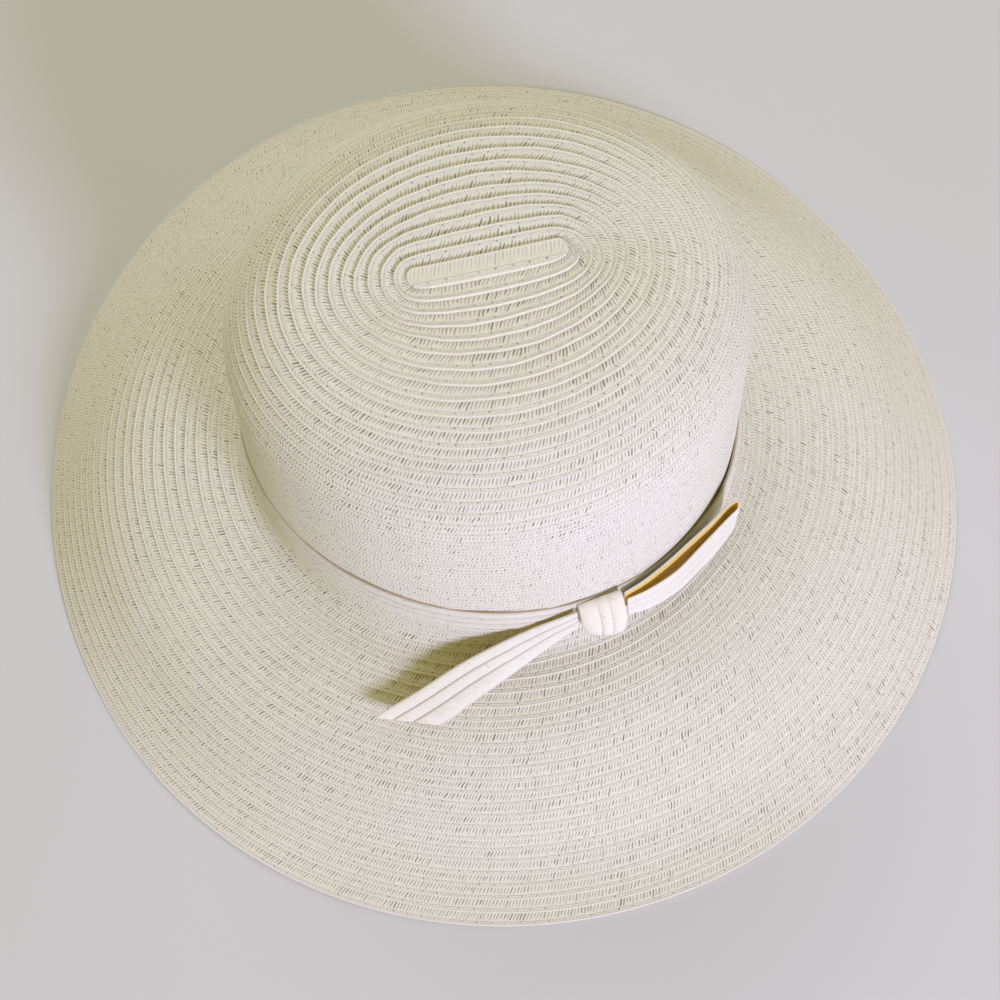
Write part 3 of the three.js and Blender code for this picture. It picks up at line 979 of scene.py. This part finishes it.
def braid_material(name, look):
    """Sewn braid: open slanting strands on the inner half of a row, then stitches and an edge strand, with
    painted shade in the gaps, needle holes and grooves, and painted highlights on the threads, the edge
    strand and the strands between gaps.
    """
    g = Graph(name)
    braid = g.add("ShaderNodeAttribute", attribute_name="braid")
    parts = g.add("ShaderNodeSeparateXYZ")
    g.put(parts.inputs[0], braid.outputs["Vector"])
    along, across, row = parts.outputs
    drift = g.noise(g.vector(g.times(along, DRIFT_RATE), across, g.times(row, DRIFT_ROWS)), 1.0)
    place = g.plus(along, g.times(g.minus(drift, 0.5), DRIFT_TICKS))
    lean = g.times(across, look["slant"])

    # open strands, with a gap in the middle of each cell that has its own place, width, length and darkness
    # of painted shade
    phase = g.plus(place, lean)
    chance = g.add("ShaderNodeTexWhiteNoise", noise_dimensions="2D")
    g.put(chance.inputs["Vector"], g.vector(g.math("FLOOR", phase), row, 0.0))
    luck = chance.outputs["Value"]
    more = g.add("ShaderNodeSeparateColor")
    g.put(more.inputs[0], chance.outputs["Color"])
    width, length, shift = more.outputs[:3]
    stretch = g.noise(g.vector(g.times(along, STRETCH_RATE), g.times(row, STRETCH_ROWS), 0.0), 1.0)
    ending = g.fade(g.plus(across, g.times(length, GAP_SHORTER)), *GAP_END)
    open_zone = g.times(g.smooth(across, *GAP_START), ending)
    off_middle = g.size(g.plus(g.signed(phase), g.times(g.minus(shift, 0.5), GAP_SHIFT)))
    half_width = g.plus(GAP_NARROWEST, g.times(width, GAP_WIDER))
    gap = g.times(g.fade(off_middle, GAP_MIDDLE, half_width), open_zone)
    shown = g.smooth(stretch, *STRETCH_RANGE, STRETCH_LIGHTEST, 1.0)
    dark = g.times(g.math("POWER", luck, GAP_RARITY), shown)
    gap = g.times(gap, g.plus(GAP_FAINTEST, g.times(dark, 1 - GAP_FAINTEST)))
    gap = g.times(gap, g.smooth(row, *STRIP_ROW_RANGE, STRIP_GAPS, 1.0))
    # the strands beside each gap, painted lighter as highlights
    strand = g.times(g.smooth(off_middle, *STRAND_SIDE), g.times(open_zone, look["strands"]))

    # close strands that lean the other way
    back_phase = g.minus(place, lean)
    close_zone = g.times(g.smooth(across, *CLOSE_START), g.fade(across, *CLOSE_END))
    close = g.times(g.fade(g.from_middle(back_phase), 0.0, CLOSE_WIDTH), close_zone)

    # stitches, each as long as a few strands, between needle holes; the threads are painted lighter as
    # highlights and the holes darker as shade
    stitch = g.from_middle(g.plus(g.times(place, 1 / STITCH_TICKS), g.times(row, STITCH_ROWS)))
    off_line = g.size(g.minus(across, STITCH_LINE))
    thread = g.times(g.fade(off_line, *THREAD_WIDTH), g.fade(stitch, *THREAD_END))
    thread = g.times(thread, look["stitches"])
    needle = g.times(g.fade(off_line, *NEEDLE_WIDTH), g.smooth(stitch, *NEEDLE_START))
    needle = g.times(needle, g.times(luck, look["stitches"]))

    # edge strand, painted lighter as a highlight, and the groove where two rows meet, painted darker as shade
    edge = g.times(g.smooth(across, *EDGE_HIGHLIGHT_START), look["edge"])
    groove = g.times(g.smooth(g.size(g.minus(across, 0.5)), *GROOVE_SHADE_START), look["groove"])

    # relief
    along_fibre = g.vector(g.times(phase, FIBRE_TICKS), g.times(across, FIBRE_ACROSS), row)
    fibre = g.noise(along_fibre, FIBRE_SCALE, FINE_DETAIL)
    height = g.minus(1.0, g.plus(gap, g.times(close, CLOSE_RELIEF)))
    height = g.plus(height, g.times(g.minus(thread, needle), STITCH_RELIEF))
    height = g.plus(height, g.times(fibre, FIBRE_RELIEF))
    bump = g.add("ShaderNodeBump")
    bump.inputs["Strength"].default_value = 1.0
    bump.inputs["Distance"].default_value = look["relief"] * MM
    g.put(bump.inputs["Height"], height)
    g.put(g.shader.inputs["Normal"], bump.outputs["Normal"])

    # colour
    where = g.add("ShaderNodeTexCoord")
    blotch = g.noise(where.outputs["Object"], BLOTCH_SCALE, FINE_DETAIL)
    tone = g.plus(g.times(blotch, BLOTCH_TONE), g.times(luck, STRAND_TONE))
    colour = g.mix(tone, (*look["deep"], 1.0), (*look["light"], 1.0))
    # painted light: the reverse faces of the bow's strips are coloured gold for light shining through them
    if "reverse" in look:
        painted_glow_mask = g.smooth(row, REVERSE_ROWS - 2, REVERSE_ROWS - 1)
        colour = g.mix(painted_glow_mask, colour, (*look["reverse"], 1.0))
    # painted shade: the gaps, needle holes and grooves take the dark colour
    shade = g.most(g.times(gap, look["gap_painted_shade"]), g.most(g.times(needle, NEEDLE_SHADE), groove))
    colour = g.mix(shade, colour, (*look["painted_shade"], 1.0))
    # painted highlights: the stitch threads, the edge strand and the strands between gaps take the light
    # colour
    lit = g.most(g.most(thread, edge), strand)
    colour = g.mix(g.times(lit, HIGHLIGHT_SHARE), colour, (*look["painted_highlight"], 1.0))
    g.put(g.shader.inputs["Base Color"], colour)

    # surface
    g.put(g.shader.inputs["Roughness"], g.smooth(fibre, *FIBRE_RANGE, *BRAID_ROUGHNESS))
    g.shader.inputs["Specular IOR Level"].default_value = BRAID_SPECULAR
    g.shader.inputs["Subsurface Weight"].default_value = look["glow"]
    g.shader.inputs["Subsurface Radius"].default_value = GLOW_RADIUS
    g.shader.inputs["Subsurface Scale"].default_value = GLOW_DEPTH * MM
    g.shader.inputs["Sheen Weight"].default_value = SHEEN
    g.shader.inputs["Sheen Roughness"].default_value = SHEEN_ROUGHNESS
    return g.material


def floor_material():
    g = Graph("floor")
    place = g.add("ShaderNodeTexCoord")
    grain = g.noise(place.outputs["Object"], FLOOR_GRAIN)
    darker, lighter = ((tone, tone, tone, 1.0) for tone in FLOOR_TONES)
    g.put(g.shader.inputs["Base Color"], g.mix(grain, darker, lighter))
    g.shader.inputs["Roughness"].default_value = FLOOR_ROUGHNESS
    g.shader.inputs["Specular IOR Level"].default_value = FLOOR_SPECULAR
    return g.material


# Stage

def make_floor():
    mesh = bpy.data.meshes.new("floor")
    far = FLOOR_HALF_SIZE
    mesh.from_pydata([(-far, -far, 0), (far, -far, 0), (far, far, 0), (-far, far, 0)], [], [(0, 1, 2, 3)])
    mesh.materials.append(floor_material())
    floor = bpy.data.objects.new("floor", mesh)
    bpy.context.scene.collection.objects.link(floor)


def direction(azimuth, elevation):
    """Unit vector from the hat towards a viewer or a lamp.

    Azimuth 0 is in front, at -Y, and grows to the right.
    """
    a, e = math.radians(azimuth), math.radians(elevation)
    return Vector((math.sin(a) * math.cos(e), -math.cos(a) * math.cos(e), math.sin(e)))


def make_camera():
    data = bpy.data.cameras.new("camera")
    data.lens = CAMERA_LENS
    data.sensor_width = SENSOR
    data.clip_start, data.clip_end = CAMERA_CLIP
    camera = bpy.data.objects.new("camera", data)
    bpy.context.scene.collection.objects.link(camera)
    back = direction(CAMERA_AZIMUTH, CAMERA_ELEVATION)
    right = Vector((0, 0, 1)).cross(back).normalized()
    roll = math.radians(CAMERA_ROLL)
    rolled = right * math.cos(roll) + back.cross(right) * math.sin(roll)
    up = back.cross(rolled)
    axes = Matrix((rolled, up, back)).transposed().to_4x4()
    camera.matrix_world = Matrix.Translation(CAMERA_TARGET + back * CAMERA_DISTANCE) @ axes
    bpy.context.scene.camera = camera


def area_lamp(name, azimuth, elevation, distance, size, power, colour):
    data = bpy.data.lights.new(name, "AREA")
    data.shape = "DISK"
    data.size = size
    data.energy = power
    data.color = colour
    lamp = bpy.data.objects.new(name, data)
    bpy.context.scene.collection.objects.link(lamp)
    towards = direction(azimuth, elevation)
    lamp.location = LAMP_TARGET + towards * distance
    lamp.rotation_euler = towards.to_track_quat("Z", "Y").to_euler()


def make_lights():
    area_lamp("key", **KEY_LAMP)
    area_lamp("back", **BACK_LAMP)
    world = bpy.data.worlds.new("studio")
    world.use_nodes = True
    background = world.node_tree.nodes["Background"]
    background.inputs["Color"].default_value = (*WORLD_COLOUR, 1.0)
    background.inputs["Strength"].default_value = WORLD_STRENGTH
    bpy.context.scene.world = world
    bpy.context.scene.view_settings.view_transform = "Standard"


def middle_shift():
    """Moves the crown's axis so that the middle of the brim is over the origin, as in the CAD model."""
    azimuth = np.linspace(-math.pi, math.pi, MERIDIAN_LINES)
    edge = wall.point(azimuth, edge_arc(azimuth))
    shift = -(edge.max(0) + edge.min(0)) / 2
    shift[2] = 0
    return shift


def main():
    shift = middle_shift()
    body = braid_material("body_braid", BODY_LOOK)
    band = braid_material("band_braid", BAND_LOOK)
    bow = braid_material("bow_braid", BOW_LOOK)
    hat_crown(body, shift)
    hat_brim(body, shift)
    hat_band(band, shift)
    bow_tail(bow, shift)
    bow_loop(bow, shift)
    bow_knot(bow, shift)
    make_floor()
    make_camera()
    make_lights()


main()
